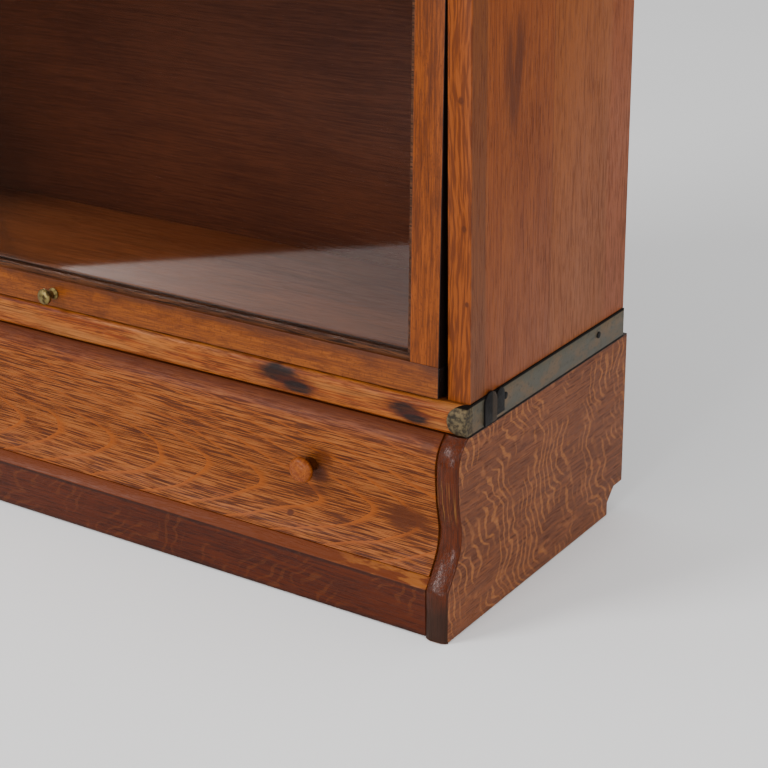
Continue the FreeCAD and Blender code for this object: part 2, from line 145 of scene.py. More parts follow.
EDGE_KNOTS = ((0.4238, 0.340, 0.0026), (0.4266, 0.280, 0.0022), (0.4209, 0.438, 0.003),
              (0.419, 0.62, 0.003), (-0.424, 0.39, 0.003))
SCORCH_SPREAD = 1.6
# The drawer's rings: their width, and the height, tilt, taper and depth of the log's heart.
RING_WIDTH = 0.0047
RING_HEIGHT = 0.083
RING_TILT = 0.03
RING_TAPER = 0.085
RING_DEEP = 0.075
SWAY = 0.014
# On a side, the depth where its two boards join, of a pale line, and a stain's depth and height.
BOARD_JOINT = 0.0088
PALE_LINE_AT = -0.0925
SIDE_STAIN = (-0.052, 0.447)
# The two ends of each mark's fading edge, in metres. First heights on the drawer and base.
# UNDER_RAIL and DRAWER_TOP bound the painted shade on the drawer's top, under the nosing rail.
UNDER_RAIL = (0.148, 0.168)
DRAWER_TOP = (0.157, 0.168)
# UNDER_BAND bounds the painted shadow on a base side, just under the steel band.
UNDER_BAND = (0.1682, 0.1696)
HOLLOW_FOOT = (0.094, 0.112)
HOLLOW_HEAD = (0.130, 0.140)
GRIMY_FOOT = (0.022, 0.055)
BELOW_BEVEL = (0.0405, 0.0425)
BEVEL = (0.0435, 0.0445)
ON_THE_FLOOR = (0.001, 0.006)
# Then a place across the width of the plinth, and depths on the case and its metal.
WORN_END = (0.30, 0.36)
REAR_STRIP = (0.100, 0.112)
NEAR_ARRIS = (-0.096, -0.092)
CAP_END = (-0.1155, -0.1110)
FINGER_SHEEN_FROM = (-0.0865, -0.0845)
FINGER_SHEEN_TO = (-0.0790, -0.0780)

# The base sides: the rounded nose, its wear, and the notch for the skirting board.
NOSE_LEVELS = 86
NOSE_RIBS = 14
NOSE_DEEP = 0.0042
NOSE_BACK = 0.0003
NOSE_WEAR = 0.0008
FOOT_LIFT = 0.0008
NOTCH_DEEP = 0.028
NOTCH_TOP_DEEP = 0.016
NOTCH_LOW = 0.013
NOTCH_HIGH = 0.025
PROBE_MARGIN = 0.0005
KNOB_LENGTH = 0.016
LATHE_SIDES = 48
# How far sharp edges are rounded, and what counts as sharp.
ARRIS = 0.0008
BOARD_ARRIS = 0.0007
FACE_ARRIS = 0.0006
RAIL_ARRIS = 0.0005
BAND_ARRIS = 0.0003
KNOB_ARRIS = 0.0002
SHARP = math.radians(40)
WELD_REACH = 1e-5
# The turned knobs: distance behind the face or before the door, and radius.
BRASS_OUTLINE = ((0.0002, 0.0052), (0.0012, 0.0055), (0.0020, 0.0046), (0.0034, 0.0034),
                 (0.0078, 0.0034), (0.0094, 0.0048), (0.0102, 0.0066), (0.0112, 0.0071),
                 (0.0132, 0.0071), (0.0140, 0.0066), (0.0145, 0.0056), (0.0148, 0.0050),
                 (0.0155, 0.0034), (0.0158, 0.0012))
NECK_OUTLINE = ((0.032, 0.0060), (0.0150, 0.0062), (0.0120, 0.0070), (0.0105, 0.0086),
                (0.0090, 0.0096))
# The drawer knob's head: distance behind the face, and how far inside the full radius.
HEAD_OUTLINE = ((0.0065, 0.0), (0.0045, 0.0001), (0.0028, 0.0008), (0.0016, 0.0022),
                (0.0009, 0.0040), (0.0010, 0.0047), (0.0005, 0.0054))
FACE_CENTRE = (0.0, 0.0012)


# ---------------------------------------------------------------- shader maths

class Value:
    """A number or colour that varies over a surface: a socket, with Python's operators."""

    def __init__(self, shader, socket):
        self.shader = shader
        self.socket = socket

    def math(self, operation, *others):
        return self.shader.node("ShaderNodeMath", {"operation": operation}, [self, *others])

    def __add__(self, other):
        return self.math("ADD", other)

    __radd__ = __add__

    def __mul__(self, other):
        return self.math("MULTIPLY", other)

    __rmul__ = __mul__

    def __sub__(self, other):
        return self.math("SUBTRACT", other)

    def __rsub__(self, other):
        return self.shader.node("ShaderNodeMath", {"operation": "SUBTRACT"}, [other, self])

    def __truediv__(self, other):
        return self.math("DIVIDE", other)

    def __abs__(self):
        return self.math("ABSOLUTE")

    def clamp(self):
        return self.math("MAXIMUM", 0).math("MINIMUM", 1)

    def step(self, low, high):
        """0 below low, 1 above high, and a smooth rise between them."""
        settings = {"interpolation_type": "SMOOTHSTEP"}
        return self.shader.node("ShaderNodeMapRange", settings,
                                {"Value": self, "From Min": low, "From Max": high})


class Shader:
    """One material: its Principled BSDF and the nodes that feed it."""

    def __init__(self, name, **constants):
        self.material = bpy.data.materials.new(name)
        self.material.use_nodes = True
        self.tree = self.material.node_tree
        self.surface = self.tree.nodes["Principled BSDF"]
        for socket, value in constants.items():
            self.surface.inputs[socket.replace("_", " ")].default_value = value
        self.place = self.node("ShaderNodeTexCoord", output="Object")
        parts = self.node("ShaderNodeSeparateXYZ", {}, [self.place], output=None)
        self.x, self.y, self.z = (Value(self, socket) for socket in parts.outputs)

    def plug(self, socket, value):
        if isinstance(value, Value):
            self.tree.links.new(value.socket, socket)
        elif isinstance(value, tuple) and socket.type == "RGBA":
            socket.default_value = (*value, 1)
        else:
            socket.default_value = value

    def node(self, kind, settings=None, inputs=(), output=0):
        """A node of one type, with its settings, then its inputs by place or by name."""
        made = self.tree.nodes.new(kind)
        for name, value in (settings or {}).items():
            setattr(made, name, value)
        pairs = inputs.items() if isinstance(inputs, dict) else enumerate(inputs)
        for key, value in pairs:
            self.plug(made.inputs[key], value)
        return made if output is None else Value(self, made.outputs[output])

    def vector(self, x, y, z):
        return self.node("ShaderNodeCombineXYZ", {}, [x, y, z])

    def noise(self, x, y, z, detail=2.0, roughness=0.5):
        """Noise of 0 to 1, at a place given in cells: a coordinate times the cells per metre."""
        return self.node("ShaderNodeTexNoise", {}, {
            "Vector": self.vector(x, y, z), "Scale": 1.0, "Detail": detail,
            "Roughness": roughness})

    def mix(self, share, first, second):
        """A colour between two others."""
        settings = {"data_type": "RGBA", "clamp_factor": True}
        made = self.node("ShaderNodeMix", settings, {0: share}, output=None)
        self.plug(made.inputs[6], first)
        self.plug(made.inputs[7], second)
        return Value(self, made.outputs[2])

    def finish(self, colour, roughness, height, depth):
        """Connects the surface. height is a Value of 0 to 1 that stands depth metres high."""
        self.plug(self.surface.inputs["Base Color"], colour)
        self.plug(self.surface.inputs["Roughness"], roughness)
        bump = self.node("ShaderNodeBump", {}, {"Strength": 1.0, "Distance": depth,
                                                "Height": height})
        self.plug(self.surface.inputs["Normal"], bump)
        return self.material


# ---------------------------------------------------------------- wood

def axes_for(shader, grain, across):
    """The coordinates along the grain, across the face and into the board."""
    by_name = {"x": shader.x, "y": shader.y, "z": shader.z}
    into = ({"x", "y", "z"} - {grain, across}).pop()
    return by_name[grain], by_name[across], by_name[into]


class Oak(Shader):
    """Varnished oak. grain and across name the axes that the figure is laid along.

    The wood is a light colour, a dark colour and the colour of its pores. dashes, streaks and
    clouds say how strong the pores, the fine streaks and the broad shades are.
    """

    def __init__(self, name, grain, across, seed, wood, dashes=1.0, streaks=1.0, clouds=1.0,
                 gloss=0.42):
        super().__init__(name, Specular_IOR_Level=0.14, Coat_Weight=0.02, Coat_Roughness=0.2)
        draw = random.Random(seed)
        along, side, into = axes_for(self, grain, across)
        self.g = along + draw.uniform(2, 9)
        self.a = side + draw.uniform(2, 9)
        self.d = into + draw.uniform(2, 9)
        sway = self.noise(self.g * 3, self.a * 7, self.d * 7, detail=2.0)
        self.b = self.a + (sway - 0.5) * SWAY
        light, dark, self.pore = wood
        self.fibre = self.noise(self.g * 45, self.b * 1000, self.d * 1000, detail=2.0)
        self.streak = self.noise(self.g * 9, self.b * 380, self.d * 380, detail=3.0,
                                 roughness=0.65)
        self.cloud = self.noise(self.g * 6, self.a * 17, self.d * 17, detail=3.0, roughness=0.6)
        cells = self.noise(self.g * 52, self.b * 900, self.d * 900, detail=3.0, roughness=0.6)
        self.pores = (cells.step(0.48, 0.62) * (0.55 + 0.9 * self.cloud) * dashes).clamp()
        tone = (self.streak - 0.5) * 3.2 * streaks + (self.fibre - 0.5) * 1.2
        tone = (tone + 0.45 + (self.cloud - 0.5) * 1.3 * clouds).clamp()
        self.colour = self.mix(tone, light, dark)
        self.rough = gloss + (self.cloud - 0.5) * 0.2
        self.relief = 0.6 + (self.fibre - 0.5) * 0.35

    def open_grain(self, where=1.0):
        """Dark pores in short dashes, where the mask allows them."""
        amount = self.pores * where
        self.colour = self.mix((amount * 0.95).clamp(), self.colour, self.pore)
        self.relief = self.relief - amount * 0.5
        self.rough = self.rough + amount * 0.2

    def paint(self, mask, colour, share=1.0):
        self.colour = self.mix((mask * share).clamp(), self.colour, colour)

    def done(self, depth=0.0003):
        return self.finish(self.colour, self.rough.clamp(), self.relief, depth)

    def ripple(self, scale, size):
        """A small uneven shift, to break a mask's edge."""
        return (self.noise(self.x * scale, self.y * scale, self.z * scale, detail=3.0) - 0.5) * size

    def spot(self, place, radii, ragged=0.9):
        """A blot in the X-Z plane: 1 in its middle, with a ragged edge stretched along X."""
        edge = self.noise(self.x * 70, 5.5, self.z * 330, detail=3.0) - 0.5
        across = (self.x - place[0]) / radii[0]
        up = (self.z - place[1]) / radii[1]
        reach = (across * across + up * up).math("SQRT") + edge * ragged
        return 1 - reach.step(0.45, 1.05)


def rays(oak, strength, slant=0.0, spacing=0.0095):
    """Pale flecks that cross the grain in broken wavy stripes, as on quarter-sawn oak."""
    bend = oak.noise(oak.g * 15, oak.a * 24, 3.1, detail=2.0) - 0.5
    kink = oak.noise(oak.g * 60, oak.a * 110, 8.1, detail=1.0) - 0.5
    phase = (oak.g + oak.a * slant) / spacing + bend * 6 + kink * 0.7
    width = oak.noise(oak.g * 50, oak.a * 60, 5.1, detail=1.0) * 0.55
    line = 1 - (abs(phase.math("FRACT") - 0.5) * 2).step(width - 0.08, width + 0.10)
    patch = oak.noise(oak.g * 28, oak.a * 26, 1.3, detail=2.0).step(0.40, 0.56)
    broken = oak.noise(oak.g * 110, oak.a * 900, 2.2, detail=1.0).step(0.25, 0.62)
    return (line * patch * (0.25 + 0.75 * broken) * strength).clamp()


def drawer_oak():
    """Plain-sawn oak: arched rings with smooth orange late wood between bands of dark lines."""
    oak = Oak("oak_drawer", "x", "z", 3, DRAWER_WOOD, gloss=0.52)
    wander = (oak.noise(oak.g * 7, oak.a * 22, 1.0, detail=2.0) - 0.5) * 0.006
    rise = oak.z - RING_HEIGHT - oak.x * RING_TILT
    deep = oak.x * RING_TAPER + RING_DEEP
    radius = (rise * rise + deep * deep).math("SQRT") + wander
    ring = (radius / RING_WIDTH).math("FRACT")
    smooth = 1 - ring.step(0.02, 0.22)
    oak.open_grain(0.7 - smooth * 0.6)
    oak.paint(smooth * (0.35 + oak.cloud), LATE_WOOD, 0.45)
    lines = oak.noise(oak.g * 27, oak.b * 1150, oak.d * 1150, detail=4.0, roughness=0.5)
    oak.paint((1 - lines).step(0.50, 0.60) * (1 - smooth), PALE_LINE, 0.5)
    oak.paint(lines.step(0.49, 0.58) * (1 - smooth * 0.9), DARK_LINE, 0.85)
    # Painted shade under the nosing rail: the drawer's top reddened and darkened, then a darker
    # band along its top edge.
    under_rail = (oak.z + oak.ripple(30, 0.012)).step(*UNDER_RAIL)
    oak.paint(under_rail * (0.5 + oak.fibre), REDDISH_SHADE, 0.65)
    oak.paint((oak.z + oak.ripple(40, 0.010)).step(*DRAWER_TOP), UMBER_AND_SHADE, 0.75)
    # Stains, and painted shadows of the knobs.
    for place, radii, share in DRAWER_STAINS_AND_SHADOWS:
        oak.paint(oak.spot(place, radii), UMBER_AND_SHADE, share)
    return oak.done()


def rail_oak(front):
    """The nosing rails: golden streaks worn bare in front, burns near the right end, and painted
    shade where the rail runs back under the door.
    """
    oak = Oak("oak_rail", "x", "z", 5, RAIL_WOOD, dashes=0.7, streaks=1.5)
    oak.open_grain()
    bare = oak.noise(oak.g * 9, oak.a * 60, 2.0, detail=3.0).step(0.48, 0.62)
    oak.paint(bare * oak.streak, BARE_WOOD, 0.9)
    lines = oak.noise(oak.g * 12, oak.b * 800, oak.d * 800, detail=4.0, roughness=0.55)
    oak.paint(lines.step(0.54, 0.62), RAIL_LINE, 0.65)
    for place, radii in RAIL_BURNS:
        scorched = oak.spot(place, (radii[0] * SCORCH_SPREAD, radii[1] * SCORCH_SPREAD))
        oak.paint(scorched, SCORCH, 0.55)
        oak.paint(oak.spot(place, radii) * (0.5 + oak.streak), SOOT_AND_SHADE, 0.95)
    # Painted shade: the rail darkened behind its front, where it runs back under the door.
    oak.paint(oak.y.step(front + 0.0050, front + 0.0070), UMBER_AND_SHADE, 0.8)
    return oak.done()


def side_oak(front):
    """A case side, glued up from boards of slightly different colour, with a bright front edge."""
    oak = Oak("oak_side", "z", "y", 1, SIDE_WOOD, dashes=0.55, streaks=0.8, clouds=0.7)
    rear = oak.y.step(BOARD_JOINT - 0.0005, BOARD_JOINT + 0.0005)
    oak.paint(rear, REAR_BOARD, 0.45)
    last = (oak.y + oak.ripple(8, 0.004)).step(*REAR_STRIP)
    oak.paint(last, LAST_STRIP, 0.55)
    near_arris = 1 - (oak.y + oak.ripple(10, 0.004)).step(*NEAR_ARRIS)
    oak.paint(near_arris, GREY_BROWN, 0.55)
    pale = 1 - (abs(oak.y - PALE_LINE_AT) * 1400).clamp()
    oak.paint(pale * oak.noise(1.0, 1.0, oak.z * 9, detail=1.0).step(0.40, 0.60), TAN, 0.7)
    joint = 1 - (abs(oak.y - BOARD_JOINT) * 1500).clamp()
    oak.paint(joint, UMBER_AND_SHADE, 0.7)
    oak.open_grain()
    mark = oak.noise(oak.y * 90, 4.0, oak.z * 9 + 3, detail=2.0)
    beside, above = oak.y - SIDE_STAIN[0], oak.z - SIDE_STAIN[1]
    lens = beside * beside * 2600 + above * above * 330
    oak.paint((1 - lens.step(0.2, 1.1)) * mark.step(0.35, 0.55), UMBER_AND_SHADE, 0.75)
    edge = 1 - (oak.y + oak.ripple(60, 0.0035)).step(front + 0.0012, front + 0.0022)
    wavy = oak.noise(oak.x * 420 + (oak.cloud - 0.5) * 9, 1.0, oak.z * 30, detail=3.0)
    bright = oak.mix(wavy.step(0.40, 0.58), EDGE_ORANGE, EDGE_BROWN)
    oak.paint(edge, bright)
    for x, z, size in EDGE_KNOTS:
        oak.paint(edge * oak.spot((x, z), (size, size * 1.4), 1.0), UMBER_AND_SHADE, 0.9)
    return oak.done(0.0002)


def base_oak():
    """Quarter-sawn base sides, with ray flecks and a painted shadow line just under the steel band.
    """
    oak = Oak("oak_base_side", "y", "z", 2, BASE_WOOD, dashes=0.7, streaks=1.1, clouds=1.3,
              gloss=0.4)
    oak.open_grain()
    oak.paint(rays(oak, 1.0, slant=0.30), FLECK, 0.8)
    blot = oak.noise(oak.g * 60, oak.a * 75, 6.0, detail=2.0).step(0.60, 0.70)
    oak.paint(blot, PALE_BLOT, 0.5)
    # Painted shadow in the gap under the steel band.
    oak.paint(oak.z.step(*UNDER_BAND), SOOT_AND_SHADE, 0.9)
    return oak.done(0.0002)


def nose_oak():
    """The rounded front of a base side: end grain in the hollow, red varnish on the swells."""
    oak = Oak("oak_nose", "z", "x", 21, NOSE_WOOD, dashes=0.5, clouds=1.2, gloss=0.2)
    oak.open_grain()
    hollow = oak.z.step(*HOLLOW_FOOT) * (1 - oak.z.step(*HOLLOW_HEAD))
    lines = oak.noise(oak.x * 900, 1.0, oak.z * 14, detail=1.0).step(0.56, 0.66)
    oak.paint(hollow * lines, END_GRAIN, 0.75)
    foot = 1 - (oak.z + oak.ripple(45, 0.03)).step(*GRIMY_FOOT)
    oak.paint(foot, FOOT_GRIME, 0.85)
    oak.rough = oak.rough + hollow * 0.25 + foot * 0.35
    oak.relief = oak.relief + (oak.noise(oak.x * 380, oak.y * 380, oak.z * 260) - 0.5) * 0.7
    return oak.done(0.0003)


def plinth_oak():
    """The board between the feet: dark red, with its top bevel painted brighter as a painted
    highlight.
    """
    oak = Oak("oak_plinth", "x", "z", 4, PLINTH_WOOD, dashes=0.6, clouds=1.2)
    oak.open_grain()
    oak.paint(rays(oak, 0.8, slant=-0.8, spacing=0.014), PLINTH_FLECK, 0.4)
    oak.paint(oak.z.step(*BELOW_BEVEL), SOOT_AND_SHADE, 0.6)
    # Painted highlight: the upward-facing bevel painted brighter than the face.
    bevel = oak.z.step(*BEVEL)
    oak.paint(bevel, BEVEL_HIGHLIGHT, 0.9)
    worn = oak.noise(oak.x * 34, 1.0, oak.z * 190, detail=3.0).step(0.50, 0.60)
    near_end = oak.x.step(*WORN_END)
    oak.paint(bevel * worn * near_end, BEVEL_WORN, 0.8)
    oak.paint(1 - (oak.z + oak.ripple(40, 0.006)).step(*ON_THE_FLOOR), SOOT_AND_SHADE, 0.6)
    return oak.done()


def rail_or_stile(oak, half):
    """Dark specks on a door's wood; returns a mask of the ends beside the case, which get painted
    shade for the gap between door and case.
    """
    specks = oak.noise(oak.x * 650, oak.y * 650, oak.z * 330, detail=1.0).step(0.60, 0.68)
    oak.paint(specks, UMBER_AND_SHADE, 0.4)
    return abs(oak.x).step(half - 0.0009, half - 0.0004)


def door_rail_oak(name, half, low):
    """Mottled door rails, smudged dark where the glass meets the bottom rail."""
    oak = Oak(name, "x", "z", 6, DOOR_RAIL_WOOD, dashes=0.55, streaks=0.7, clouds=1.6)
    oak.open_grain()
    ends = rail_or_stile(oak, half)
    mottle = oak.noise(oak.x * 60, 3.0, oak.z * 170, detail=4.0, roughness=0.7)
    oak.paint(mottle.step(0.50, 0.64), MOTTLE, 0.55)
    smudge = (oak.z + oak.ripple(45, 0.016)).step(low + 0.018, low + 0.028)
    oak.paint(smudge, SMUDGE, 0.75)
    # Painted shade: a dark line along the rail's bottom edge, in the gap above the nosing rail.
    oak.paint(1 - oak.z.step(low + 0.0006, low + 0.0018), SOOT_AND_SHADE, 0.8)
    # Painted shade in the gap between the door's ends and the case.
    oak.paint(ends, GAP_SHADE_BLACK)
    return oak.done(0.0002)


def stile_oak(half):
    oak = Oak("oak_stile", "z", "x", 7, DOOR_STILE_WOOD, dashes=0.55, streaks=1.2)
    oak.open_grain()
    # Painted shade in the gap between the door's ends and the case.
    oak.paint(rail_or_stile(oak, half), GAP_SHADE_BLACK)
    return oak.done(0.0002)


def simple_oak(name, grain, across, seed, wood, **options):
    """Plain boards, with pores of a darker shade of the dark wood."""
    light, dark = wood
    pore = tuple(part * PORE_SHARE for part in dark)
    oak = Oak(name, grain, across, seed, (light, dark, pore), **options)
    oak.open_grain()
    return oak.done()


def knob_oak(front):
    """Turned wood, its neck painted dark: painted shade behind the knob's head."""
    oak = Oak("oak_knob", "y", "z", 12, KNOB_WOOD, dashes=0.35)
    oak.open_grain()
    oak.paint(oak.y.step(front + 0.0045, front + 0.0075), NECK_SHADE, 0.85)
    return oak.done(0.0001)


# ---------------------------------------------------------------- metal and glass

def band_metal(levels):
    """Steel under old lacquer: grey and tan blotches, with painted shade along both edges of each
    band.
    """
    shader = Shader("band_steel", Metallic=0.55, Specular_IOR_Level=0.2)
    blotch = shader.noise(shader.x * 30, shader.y * 38, shader.z * 60, detail=4.0, roughness=0.65)
    fine = shader.noise(shader.x * 300, shader.y * 260, shader.z * 420, detail=3.0)
    colour = shader.mix(blotch.step(0.40, 0.62), STEEL_GREY, STEEL_TAN)
    colour = shader.mix(fine.step(0.55, 0.70) * 0.6, colour, STEEL_SPECK)
    crust = 1 - (shader.y + (fine - 0.5) * 0.004).step(*CAP_END)
    patches = shader.noise(shader.x * 330, shader.y * 330, shader.z * 380, detail=4.0)
    old = shader.mix(patches.step(0.36, 0.66), CRUST_DARK, CRUST_TAN)
    colour = shader.mix(crust * 0.8, colour, old)
    # Painted shade along both edges of each band, where it meets the wood.
    rims = []
    for low, high in levels:
        middle, half = (low + high) / 2, (high - low) / 2
        away = abs(shader.z - middle)
        rims.append(away.step(half - 0.0024, half - 0.0014) * (1 - away.step(half, half + 0.001)))
    edges = sum(rims)
    colour = shader.mix(edges, colour, BAND_EDGE_SHADE)
    height = blotch * 0.5 + fine * 0.2 + crust * patches * 1.2
    rough = 0.42 + blotch * 0.18 + crust * 0.1 + edges * 0.4
    return shader.finish(colour, rough.clamp(), height, 0.0005)


def clip_metal():
    """Blackened spring steel, with a painted brown sheen along the inside of the wide finger, where
    its rounded face turns to the light.
    """
    shader = Shader("clip_iron", Specular_IOR_Level=0.12)
    speck = shader.noise(shader.x * 400, shader.y * 400, shader.z * 400, detail=2.0)
    # Painted highlight: a brown sheen on the rear of the wide finger.
    sheen = shader.y.step(*FINGER_SHEEN_FROM) * (1 - shader.y.step(*FINGER_SHEEN_TO))
    colour = shader.mix(sheen * (0.4 + speck * 0.8), CLIP_BLACK, CLIP_SHEEN_BROWN)
    return shader.finish(colour, 0.5 + speck * 0.15, speck, 0.0002)


def knob_brass():
    """Old brass, blotched nearly brown."""
    shader = Shader("door_brass", Metallic=1.0)
    stain = shader.noise(shader.x * 240, shader.y * 240, shader.z * 240, detail=3.0)
    colour = shader.mix(stain.step(0.42, 0.66), BRASS, BRASS_STAIN)
    return shader.finish(colour, 0.3 + stain * 0.25, stain, 0.0001)


def window_glass():
    """Clear glass with a thin film of dust: mostly see-through, with a mirror's share on top."""
    shader = Shader("door_glass", Roughness=0.05)
    tree = shader.tree
    clear = shader.node("ShaderNodeBsdfTransparent", {}, {"Color": GLASS_TINT})
    dust = shader.noise(shader.x * 900, shader.y * 900, shader.z * 900, detail=0.0)
    mirror = shader.node("ShaderNodeBsdfGlossy", {}, {"Color": MIRROR_TINT, "Roughness": 0.04})
    fresnel = shader.node("ShaderNodeFresnel", {}, {"IOR": 1.36})
    share = fresnel * 0.66 + dust.step(0.80, 0.84) * 0.03
    both = shader.node("ShaderNodeMixShader", {}, {0: share, 1: clear, 2: mirror})
    output = tree.nodes["Material Output"]
    tree.links.new(both.socket, output.inputs["Surface"])
    tree.nodes.remove(shader.surface)
    return shader.material


# ---------------------------------------------------------------- dressing the CAD nodes

def soften(piece, width, segments=2):
    """Joins the imported faces and rounds the sharp edges."""
    weld = piece.modifiers.new("weld", "WELD")
    weld.merge_threshold = WELD_REACH
    bevel = piece.modifiers.new("arris", "BEVEL")
    bevel.width = width
    bevel.segments = segments
    bevel.limit_method = "ANGLE"
    bevel.angle_limit = SHARP
    bevel.harden_normals = True


def dress(names, material, bevel=ARRIS):
    for name in names:
        piece = nodes[name]
        piece.data.materials.clear()
        piece.data.materials.append(material)
        for face in piece.data.polygons:
            face.use_smooth = True
        if bevel:
            soften(piece, bevel)


# ---------------------------------------------------------------- pieces that replace nodes

def add_piece(name, body, replaced, verts, faces, materials):
    mesh = bpy.data.meshes.new(name)
    mesh.from_pydata(verts, [], faces)
    mesh.update()
    for material in materials:
        mesh.materials.append(material)
    for face in mesh.polygons:
        face.use_smooth = True
    piece = bpy.data.objects.new(name, mesh)
    bpy.context.collection.objects.link(piece)
    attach(piece, body)
    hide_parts(*replaced)
    return piece


def front_profile(node, heights):
    """The depth of a node's front at its middle thickness, at each height."""
    low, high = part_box(node)
    tree = BVHTree.FromObject(nodes[node], bpy.context.evaluated_depsgraph_get())
    middle = (low.x + high.x) / 2
    depths = []
    for height in heights:
        hit = tree.ray_cast(Vector((middle, low.y - 0.1, height)), Vector((0, 1, 0)))[0]
        depths.append(hit.y if hit else depths[-1])
    return depths


def base_board(side, flat, nose):
    """A base side: the ogee runs down a half-elliptical nose, with a notch for the skirting."""
    node = f"base_side_{side}"
    low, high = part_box(node)
    middle, half = (low.x + high.x) / 2, (high.x - low.x) / 2
    bottom = low.z + FOOT_LIFT
    heights = [bottom + (high.z - bottom) * i / (NOSE_LEVELS - 1) for i in range(NOSE_LEVELS)]
    safe = [min(max(z, low.z + PROBE_MARGIN), high.z - PROBE_MARGIN) for z in heights]
    depths = front_profile(node, safe)
    verts, faces = [], []
    for z, y in zip(heights, depths):
        for rib in range(NOSE_RIBS + 1):
            turn = math.pi * rib / NOSE_RIBS
            worn = NOSE_WEAR * noise.noise(Vector((rib * 0.2, z * 60, side == "left")))
            verts.append((middle - half * math.cos(turn),
                          y + NOSE_BACK + NOSE_DEEP * (1 - math.sin(turn)) + abs(worn), z))
    row = NOSE_RIBS + 1
    for level in range(NOSE_LEVELS - 1):
        for rib in range(NOSE_RIBS):
            start = level * row + rib
            faces.append((start, start + 1, start + row + 1, start + row))
    nose_faces = len(faces)
    notch = high.y - NOTCH_DEEP
    back = [(notch, bottom), (notch, NOTCH_LOW), (high.y - NOTCH_TOP_DEEP, NOTCH_HIGH),
            (high.y, NOTCH_HIGH), (high.y, high.z)]
    first = len(verts)
    verts += [(low.x, y, z) for y, z in back] + [(high.x, y, z) for y, z in back]
    count = len(back)
    last = first + 2 * count - 1
    left_front = [level * row for level in range(NOSE_LEVELS)]
    right_front = [level * row + NOSE_RIBS for level in range(NOSE_LEVELS)]
    faces.append(tuple(left_front[::-1]) + tuple(range(first, first + count)))
    faces.append(tuple(right_front) + tuple(range(last, first + count - 1, -1)))
    for i in range(count - 1):
        faces.append((first + i, first + count + i, first + count + i + 1, first + i + 1))
    faces.append(tuple(range(row)) + (first + count, first))
    top = (NOSE_LEVELS - 1) * row
    faces.append((first + count - 1, last) + tuple(range(top + NOSE_RIBS, top - 1, -1)))
    piece = add_piece(f"base_board_{side}", "root", [node], verts, faces,
                      [flat, nose])
    for face in piece.data.polygons:
        if face.index < nose_faces:
            face.material_index = 1
    soften(piece, BOARD_ARRIS)


def turned(name, body, node, start, direction, outline, material):
    """A piece turned on a lathe: outline lists (distance along the axis, radius)."""
    segments = LATHE_SIDES
    axis = direction.normalized()
    across = axis.orthogonal().normalized()
    other = axis.cross(across)
    verts, faces = [], []
    for along, radius in outline:
        for i in range(segments):
            turn = 2 * math.pi * i / segments
            verts.append(start + axis * along
                         + (across * math.cos(turn) + other * math.sin(turn)) * radius)
    for ring in range(len(outline) - 1):
        for i in range(segments):
            j = (i + 1) % segments
            faces.append((ring * segments + i, ring * segments + j,
                          (ring + 1) * segments + j, (ring + 1) * segments + i))
    faces.append(tuple(range(segments - 1, -1, -1)))
    last = (len(outline) - 1) * segments
    faces.append(tuple(range(last, last + segments)))
    return add_piece(name, body, [node], verts, faces, [material])


def drawer_grips(material):
    """Two turned knobs: a tapered neck, a swelling head, and a ring cut in the domed face."""
    low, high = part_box("drawer_knobs")
    radius = (high.z - low.z) / 2
    height = (low.z + high.z) / 2
    head = [(along, radius - inside) for along, inside in HEAD_OUTLINE]
    outline = [*NECK_OUTLINE, *head, FACE_CENTRE]
    for side, x in (("left", low.x + radius), ("right", high.x - radius)):
        piece = turned(f"drawer_grip_{side}", "drawer",
                       "drawer_knobs", Vector((x, low.y, height)), Vector((0, 1, 0)),
                       outline, material)
        soften(piece, KNOB_ARRIS, 1)


def door_turn(section):
    """The turn that hangs a door from its pivot as it is at rest."""
    joint = next(j for j in frame["record"]["behaviour"]["joints"]
                 if j["name"] == f"{section}_door_lift")
    pivot = Matrix.Translation(Vector(joint["pos_m"]))
    ajar = math.radians(-joint["range_deg"][0])
    return pivot @ Matrix.Rotation(ajar, 4, Vector((-1, 0, 0))) @ pivot.inverted()


def door_knobs(material):
    """Small brass knobs: a stem with a collar, and a domed button with a stepped rim."""
    for section in SECTIONS:
        node = f"{section}_door_knob"
        low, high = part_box(node)
        facing = door_turn(section).to_3x3() @ Vector((0, -1, 0))
        start = (low + high) / 2 - facing * KNOB_LENGTH / 2
        piece = turned(f"{section}_brass_knob", f"{section}_door", node, start,
                       facing, BRASS_OUTLINE, material)
        soften(piece, KNOB_ARRIS, 1)


# ---------------------------------------------------------------- the case

side_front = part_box("lower_side_right")[0].y
door_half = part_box("lower_door_stiles")[1].x
band_levels = [(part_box(f"{level}_front_rail")[0].z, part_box(f"{level}_front_rail")[1].z)
               for level in LEVELS]
side_wood = side_oak(side_front)
drawer_wood = drawer_oak()
rail_wood = rail_oak(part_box("lower_front_rail")[0].y)
back_wood = simple_oak("oak_back", "x", "z", 8, BACK_WOOD, dashes=0.3, clouds=1.6)
case_back_wood = simple_oak("oak_case_back", "z", "x", 18, CASE_BACK_WOOD)
inside_wood = simple_oak("oak_inside", "x", "y", 9, INSIDE_WOOD, dashes=0.3, clouds=1.3)
raw_wood = simple_oak("inner_wood", "x", "z", 10, RAW_WOOD, gloss=0.6)
bead_wood = simple_oak("oak_bead", "x", "z", 11, BEAD_WOOD, clouds=1.8)
top_wood = simple_oak("oak_top", "x", "y", 14, TOP_WOOD)
stile_wood = stile_oak(door_half)
glass = window_glass()
steel = band_metal(band_levels)
iron = clip_metal()
brass = knob_brass()

